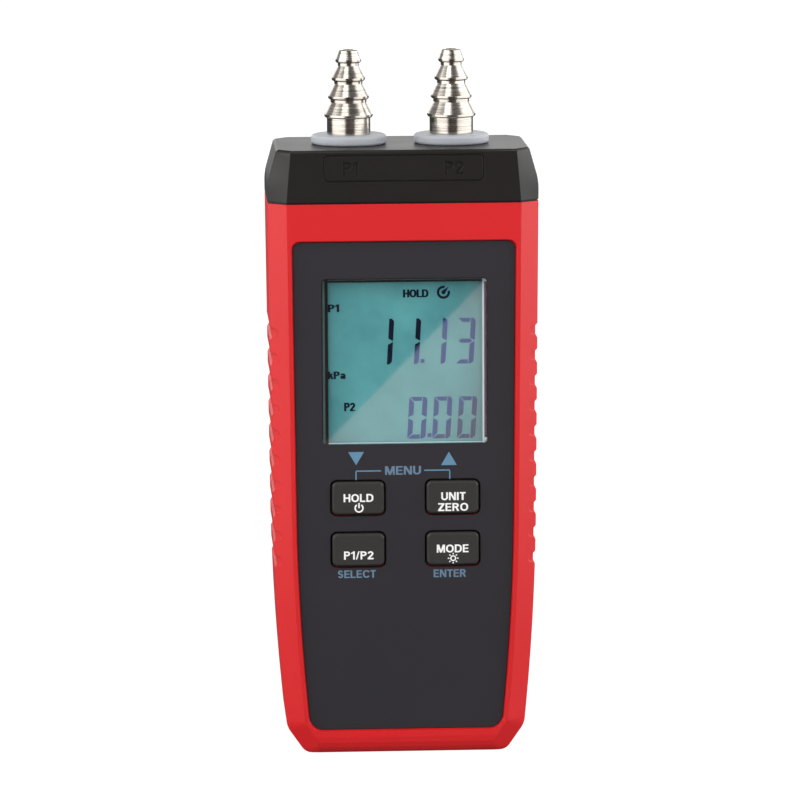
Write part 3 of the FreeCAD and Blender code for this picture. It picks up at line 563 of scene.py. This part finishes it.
def add_letter(shape, character, left):
    """Adds one bold upright letter, one unit high, from its strokes; returns its width."""
    letter = LETTERS[character]
    for x_from, x_to, foot, head in letter.get("bars", ()):
        add_bar(shape, left + x_from, left + x_to, foot, head, 0.0)
    depth_place = 0.0
    for x, z, radius, start, turn in letter.get("arcs", ()):
        depth_place -= LAYER
        add_arc(shape, (left + x, z), radius - STEM, radius, start, turn, depth_place, LETTER_STEPS)
    for corners in letter.get("patches", ()):
        depth_place -= LAYER
        add_patch(shape, [(left + x, z) for x, z in corners], depth_place)
    return letter["width"]


def add_word(shape, text, place, depth_place):
    """Adds a flat word that fills its place in the front view."""
    word = bmesh.new()
    reach = 0.0
    for character in text:
        reach += add_letter(word, character, reach) + LETTER_SPACE
    left, right, foot, head = place
    stretch_x = (right - left) / (reach - LETTER_SPACE)
    stretch = Matrix.Diagonal((stretch_x, 1.0, head - foot, 1.0))
    shift = Matrix.Translation((left * MM, depth_place * MM, foot * MM))
    bmesh.ops.transform(word, matrix=shift @ stretch, verts=word.verts)
    mesh = bpy.data.meshes.new("word")
    word.to_mesh(mesh)
    word.free()
    shape.from_mesh(mesh)
    bpy.data.meshes.remove(mesh)


def add_patch(shape, corners, depth_place):
    """Adds a flat face through (x, z) corners."""
    shape.faces.new([shape.verts.new((x * MM, depth_place * MM, z * MM)) for x, z in corners])


def add_bar(shape, left, right, foot, head, depth_place):
    """Adds a flat upright rectangle."""
    add_patch(shape, ((left, foot), (right, foot), (right, head), (left, head)), depth_place)


def add_arc(shape, centre, inner, outer, start, turn, depth_place, steps=28):
    """Adds a flat band round a centre, from a start angle, both in degrees from +X."""
    angle = math.radians(start)
    middle = Vector((centre[0] * MM, depth_place * MM, centre[1] * MM))
    direction = Vector((math.cos(angle), 0, math.sin(angle)))
    ends = [shape.verts.new(middle + direction * radius * MM) for radius in (inner, outer)]
    edge = shape.edges.new(ends)
    bmesh.ops.spin(
        shape,
        geom=[*ends, edge],
        cent=middle,
        axis=(0, -1, 0),
        angle=math.radians(turn),
        steps=steps,
        use_merge=turn == 360,
    )


def face_front(shape):
    """Turns every flat face towards the front."""
    for face in shape.faces:
        face.normal_update()
        if face.normal.y > 0:
            face.normal_flip()


def digit_bars(height):
    """Outlines of the seven bars: the upright ones run to the ends, with their outer corners cut."""
    half_width, half_height = DIGIT_WIDTH / 2, height / 2
    inner_x = half_width - DIGIT_STROKE
    middle = DIGIT_BREAK / 2
    slope_top = middle + DIGIT_STROKE * DIGIT_SLOPE
    square = (
        (inner_x, half_height),
        (half_width - DIGIT_CORNER, half_height),
        (half_width, half_height - DIGIT_CORNER),
        (half_width, middle),
        (inner_x, slope_top),
    )
    mitred = (
        (-inner_x, half_height - DIGIT_STROKE - DIGIT_BREAK),
        (-half_width, half_height - middle),
        (-half_width, middle),
        (-inner_x, slope_top),
    )
    head = (
        (inner_x - DIGIT_BREAK, half_height - DIGIT_LEVEL),
        (inner_x - DIGIT_BREAK, half_height),
        (-half_width + DIGIT_BREAK, half_height),
        (-half_width + DIGIT_BREAK + DIGIT_LEVEL, half_height - DIGIT_LEVEL),
    )
    waist = (
        (half_width - WAIST_FLAT, DIGIT_LEVEL / 2),
        (half_width - WAIST_POINT, 0.0),
        (half_width - WAIST_FLAT, -DIGIT_LEVEL / 2),
    )
    return {
        "a": head,
        "b": square,
        "c": tuple((x, -z) for x, z in square),
        "d": tuple((x, -z) for x, z in head),
        "e": tuple((x, -z) for x, z in mitred),
        "f": mitred,
        "g": waist + tuple((-x, z) for x, z in waist[::-1]),
    }


def add_digit(shape, character, left, foot, height, depth_place):
    """Adds a seven-bar digit that leans to the right."""
    bars = digit_bars(height)
    for letter in SEGMENTS[character]:
        corners = []
        for x, z in bars[letter]:
            level = z + height / 2
            corners.append((left + DIGIT_WIDTH / 2 + x + level * DIGIT_SLANT, foot + level))
        add_patch(shape, corners, depth_place)


def display_marks(finishes):
    """Digits, words and the timer sign on the display glass."""
    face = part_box("lcd_glass")[0].y / MM - INK_LIFT
    shape = bmesh.new()
    for row in (UPPER_ROW, LOWER_ROW):
        for character, left in zip(row["text"], row["lefts"]):
            add_digit(shape, character, left, row["foot"], row["height"], face)
    for x, z in (UPPER_POINT, LOWER_POINT):
        add_bar(shape, x - POINT_HALF, x + POINT_HALF, z - POINT_HALF, z + POINT_HALF, face)
    for text, (left, right, foot, head) in DISPLAY_WORDS:
        for strike, shift in enumerate(DISPLAY_STRIKES):
            depth_place = face - STRIKE_LAYERS * LAYER * strike
            add_word(shape, text, (left + shift, right + shift, foot, head), depth_place)
    x, z = TIMER_PLACE
    add_arc(shape, TIMER_PLACE, *TIMER_RING, TIMER_START, TIMER_TURN, face)
    add_arc(shape, TIMER_PLACE, 0.0, TIMER_HUB, 0, 360, face - INK_LIFT)
    add_patch(shape, [(x + across, z + up) for across, up in TIMER_HAND], face)
    face_front(shape)
    finish_piece("display_marks", shape, finishes["display_ink"], "housing")


def panel_print(finishes):
    """Words, arrows and the bracket line printed on the face panel."""
    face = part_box("face_panel")[0].y / MM - INK_LIFT
    words = bmesh.new()
    for text, place in PANEL_WORDS:
        add_word(words, text, place, face)
    face_front(words)
    finish_piece("panel_words", words, finishes["grey_ink"], "housing")
    signs = bmesh.new()
    for x, base, tip, half in ARROWS:
        add_patch(signs, ((x - half, base), (x + half, base), (x, tip)), face)
    half = MENU_LINE_WIDTH / 2
    for outer, inner in MENU_LINES:
        left, right = sorted((outer, inner))
        add_bar(signs, left, right, MENU_LINE_HEIGHT - half, MENU_LINE_HEIGHT + half, face)
        add_bar(signs, outer - half, outer + half, MENU_LINE_FOOT, MENU_LINE_HEIGHT - half, face)
    face_front(signs)
    finish_piece("panel_signs", signs, finishes["blue_ink"], "housing")


def key_print(finishes):
    """White words and signs on the keys; each rides on its own key."""
    shapes = {key: bmesh.new() for key in KEY_BODIES}
    faces = {key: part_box(key)[0].y / MM - INK_LIFT for key in KEY_BODIES}
    for key, text, place in KEY_WORDS:
        add_word(shapes[key], text, place, faces[key])
    power = shapes["hold_key"]
    face = faces["hold_key"]
    add_arc(power, POWER_PLACE, *POWER_RING, POWER_START, POWER_TURN, face)
    x, z = POWER_PLACE
    add_bar(power, x - POWER_STROKE_HALF, x + POWER_STROKE_HALF, z, z + POWER_STROKE_HEIGHT, face)
    lamp = shapes["mode_key"]
    face = faces["mode_key"]
    add_arc(lamp, LAMP_PLACE, *LAMP_RING, 0, 360, face)
    centre = Vector(LAMP_PLACE)
    for step in range(LAMP_RAYS):
        angle = math.tau * step / LAMP_RAYS
        along = Vector((math.cos(angle), math.sin(angle)))
        across = Vector((-along.y, along.x)) * LAMP_RAY_HALF
        near, far = (centre + along * reach for reach in LAMP_RAY)
        corners = (near - across, far - across, far + across, near + across)
        add_patch(lamp, [(c.x, c.y) for c in corners], face)
    for key, shape in shapes.items():
        face_front(shape)
        finish_piece(key + "_print", shape, finishes["white_ink"], KEY_BODIES[key])


def engraved_cap(finishes):
    """The cap with the port names cut into its front; stands for the plain cap."""
    shape = bmesh.new()
    shape.from_mesh(frame["nodes"]["top_cap"].data)
    cap = finish_piece("engraved_cap", shape, finishes["black_plastic"], "housing")
    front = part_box("top_cap")[0].y / MM
    letters = bmesh.new()
    for text, place in CAP_WORDS:
        add_word(letters, text, place, front - CUT_DEPTH)
    face_front(letters)
    grown = bmesh.ops.extrude_face_region(letters, geom=letters.faces[:])
    moved = [item for item in grown["geom"] if isinstance(item, bmesh.types.BMVert)]
    bmesh.ops.translate(letters, verts=moved, vec=(0, 2 * CUT_DEPTH * MM, 0))
    bmesh.ops.recalc_face_normals(letters, faces=letters.faces)
    mesh = bpy.data.meshes.new("letter_cutter")
    letters.to_mesh(mesh)
    letters.free()
    cutter = bpy.data.objects.new("letter_cutter", mesh)
    bpy.context.scene.collection.objects.link(cutter)
    cut = cap.modifiers.new("engraving", "BOOLEAN")
    cut.operation = "DIFFERENCE"
    cut.solver = "EXACT"
    cut.use_self = True
    cut.object = cutter
    bpy.context.view_layer.update()
    engraved = bpy.data.meshes.new_from_object(cap.evaluated_get(bpy.context.evaluated_depsgraph_get()))
    cap.modifiers.clear()
    cap.data = engraved
    bpy.data.objects.remove(cutter)
    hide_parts("top_cap")


def paint_window_edges(finishes):
    """The lens's polished edge as thin lines of painted highlight, painted reflection and painted shade
    round the display, at the back of the lens, with painted glints in three corners.
    """
    low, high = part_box("window_lens")
    behind = high.y / MM + LINE_STEP
    flange = (high.x - low.x) / MM / 2 - WINDOW_HALF
    left, right = -WINDOW_HALF, WINDOW_HALF
    foot, head = low.z / MM + flange, high.z / MM - flange
    shapes = {}
    for tone, side, start, end in PAINTED_WINDOW_EDGES:
        shape = shapes.setdefault(tone, bmesh.new())
        if side == "left":
            add_bar(shape, left + start, left + end, foot, head, behind)
        elif side == "right":
            add_bar(shape, right - end, right - start, foot, head, behind)
        elif side == "head":
            add_bar(shape, left, right, head - end, head - start, behind + LINE_LAYER)
        else:
            add_bar(shape, left, right, foot + start, foot + end, behind + LINE_LAYER)
    # Painted glints: highlight arcs in three corners of the window
    for x_side, z_side, inner, outer, start in PAINTED_WINDOW_GLINTS:
        edge = foot if z_side < 0 else head
        centre = (x_side * (WINDOW_HALF - WINDOW_ROUND), edge - z_side * WINDOW_ROUND)
        add_arc(shapes["painted_highlight_edge"], centre, inner, outer, start, 90, behind - LINE_LAYER, PAINTED_GLINT_STEPS)
    for tone, shape in shapes.items():
        face_front(shape)
        finish_piece("window_" + tone, shape, finishes[tone], "housing")
    window_shade_sleeve(finishes, foot, head, high.y / MM - FLANGE_DEPTH)


def window_shade_sleeve(finishes, foot, head, back):
    """Thin dark sleeve in the gap round the lens: a dark sheet as painted shade in the gap."""
    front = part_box("face_panel")[0].y / MM + SLEEVE_STEP
    sleeve = bmesh.new()
    inner, outer = WINDOW_ROUND - SLEEVE[1], WINDOW_ROUND - SLEEVE[0]
    half = WINDOW_HALF - WINDOW_ROUND
    for side in (-1, 1):
        edges = sorted((side * (half + inner), side * (half + outer)))
        add_bar(sleeve, *edges, foot + WINDOW_ROUND, head - WINDOW_ROUND, front)
    add_bar(sleeve, -half, half, foot + SLEEVE[0], foot + SLEEVE[1], front)
    add_bar(sleeve, -half, half, head - SLEEVE[1], head - SLEEVE[0], front)
    corners = ((half, head, 0), (-half, head, 90), (-half, foot, 180), (half, foot, 270))
    for x, z, start in corners:
        centre = (x, z - WINDOW_ROUND if z == head else z + WINDOW_ROUND)
        add_arc(sleeve, centre, inner, outer, start, 90, front, SLEEVE_STEPS)
    bmesh.ops.remove_doubles(sleeve, verts=sleeve.verts, dist=1e-6)
    face_front(sleeve)
    grown = bmesh.ops.extrude_face_region(sleeve, geom=sleeve.faces[:])
    moved = [item for item in grown["geom"] if isinstance(item, bmesh.types.BMVert)]
    bmesh.ops.translate(sleeve, verts=moved, vec=(0, (back - front) * MM, 0))
    bmesh.ops.recalc_face_normals(sleeve, faces=sleeve.faces)
    finish_piece("window_shade_sleeve", sleeve, finishes["painted_shade_edge"], "housing")


def place_camera():
    """Camera at the photograph's angle and distance."""
    azimuth, elevation = math.radians(CAMERA_AZIMUTH), math.radians(CAMERA_ELEVATION)
    aim = Vector(CAMERA_AIM) * MM
    away = Vector(
        (
            math.sin(azimuth) * math.cos(elevation),
            -math.cos(azimuth) * math.cos(elevation),
            math.sin(elevation),
        )
    )
    data = bpy.data.cameras.new("camera")
    data.lens = CAMERA_LENS
    data.sensor_width = 36.0
    data.clip_start = 0.05
    data.clip_end = 50.0
    camera = bpy.data.objects.new("camera", data)
    turn = (-away).to_track_quat("-Z", "Y").to_matrix().to_4x4()
    roll = Matrix.Rotation(math.radians(CAMERA_ROLL), 4, "Z")
    camera.matrix_world = Matrix.Translation(aim + away * CAMERA_DISTANCE * MM) @ turn @ roll
    bpy.context.scene.collection.objects.link(camera)
    bpy.context.scene.camera = camera


def add_lamp(name, place, aim, size, radiance, turn, tint):
    """A soft rectangular lamp of an even radiance."""
    data = bpy.data.lights.new(name, "AREA")
    data.shape = "RECTANGLE"
    data.size, data.size_y = size
    data.energy = math.pi * size[0] * size[1] * radiance
    data.color = tint
    lamp = bpy.data.objects.new(name, data)
    direction = Vector(aim) - Vector(place)
    facing = direction.to_track_quat("-Z", "Y").to_matrix().to_4x4()
    lamp.matrix_world = Matrix.Translation(place) @ facing @ Matrix.Rotation(math.radians(turn), 4, "Z")
    lamp.visible_camera = False
    bpy.context.scene.collection.objects.link(lamp)


def studio_world():
    """Soft surroundings, dim in front and pale behind; the camera itself sees plain white."""
    world = bpy.data.worlds.new("studio")
    world.use_nodes = True
    tree = world.node_tree
    backdrop = tree.nodes["Background"]
    backdrop.inputs["Color"].default_value = (1.0, 1.0, 1.0, 1.0)
    place = node(tree, "ShaderNodeTexCoord")
    parts = node(tree, "ShaderNodeSeparateXYZ")
    shade = node(tree, "ShaderNodeMapRange")
    shade.inputs["From Min"].default_value = -1.0
    shade.inputs["To Min"].default_value = WORLD_FRONT
    shade.inputs["To Max"].default_value = WORLD_BACK
    plain = node(tree, "ShaderNodeBackground")
    ray = node(tree, "ShaderNodeLightPath")
    mix = node(tree, "ShaderNodeMixShader")
    tree.links.new(place.outputs["Generated"], parts.inputs["Vector"])
    tree.links.new(parts.outputs["Y"], shade.inputs["Value"])
    tree.links.new(shade.outputs["Result"], backdrop.inputs["Strength"])
    plain.inputs["Color"].default_value = (1.0, 1.0, 1.0, 1.0)
    tree.links.new(ray.outputs["Is Camera Ray"], mix.inputs["Fac"])
    tree.links.new(backdrop.outputs["Background"], mix.inputs[1])
    tree.links.new(plain.outputs["Background"], mix.inputs[2])
    tree.links.new(mix.outputs["Shader"], tree.nodes["World Output"].inputs["Surface"])
    bpy.context.scene.world = world


def pale_floor():
    """Plain floor that looks white and sends little light back up."""
    shape = bmesh.new()
    bmesh.ops.create_grid(shape, x_segments=1, y_segments=1, size=FLOOR_HALF)
    mesh = bpy.data.meshes.new("floor")
    shape.to_mesh(mesh)
    shape.free()
    pale, tree, shader = new_material("pale_floor", (FLOOR_TONE, FLOOR_TONE, FLOOR_TONE), 0.7)
    shader.inputs["Emission Color"].default_value = (1.0, 1.0, 1.0, 1.0)
    shader.inputs["Specular IOR Level"].default_value = 0.2
    ray = node(tree, "ShaderNodeLightPath")
    glow = node(tree, "ShaderNodeMath", operation="MULTIPLY_ADD")
    glow.inputs[1].default_value = FLOOR_BOUNCE
    tree.links.new(ray.outputs["Is Diffuse Ray"], glow.inputs[0])
    tree.links.new(ray.outputs["Is Camera Ray"], glow.inputs[2])
    tree.links.new(glow.outputs[0], shader.inputs["Emission Strength"])
    mesh.materials.append(pale)
    floor = bpy.data.objects.new("floor", mesh)
    bpy.context.scene.collection.objects.link(floor)


def light_scene():
    """Soft walls at both sides, a key lamp above, a strip behind and the lamp that the window mirrors."""
    studio_world()
    pale_floor()
    for lamp in LAMPS:
        add_lamp(*lamp)
    bpy.context.scene.view_settings.view_transform = "Standard"


finishes = build_materials()
dress_cad_nodes(finishes)
display_marks(finishes)
panel_print(finishes)
key_print(finishes)
engraved_cap(finishes)
paint_window_edges(finishes)
place_camera()
light_scene()
